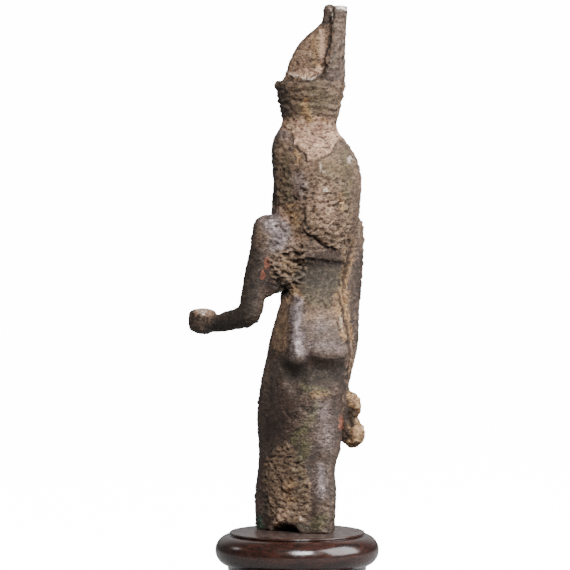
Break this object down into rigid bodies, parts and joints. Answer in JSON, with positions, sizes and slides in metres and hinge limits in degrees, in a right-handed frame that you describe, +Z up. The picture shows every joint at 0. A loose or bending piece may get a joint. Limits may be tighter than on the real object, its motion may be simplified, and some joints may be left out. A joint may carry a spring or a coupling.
{
  "type": "statuette on stand",
  "caption": "Corroded cast bronze statuette of a striding woman in a double crown, long wig and sheath dress, feet lost, on a round turned and polished wooden stand.",
  "frame": {"origin": "centre of the stand's underside, on the surface it stands on", "axes": "+Z up along the figure, the figure faces -Y, and her left hand side is +X"},
  "size_m": [0.055, 0.0592, 0.2036],
  "materials": {
    "bronze": "dark brown corroded patina, satin to matt, with pinkish, ochre and green crusts",
    "wood": "turned, dark red-brown stain, polished"
  },
  "bodies": {
    "root": {"statuette": "bronze", "stand": "wood"}
  },
  "joints": []
}
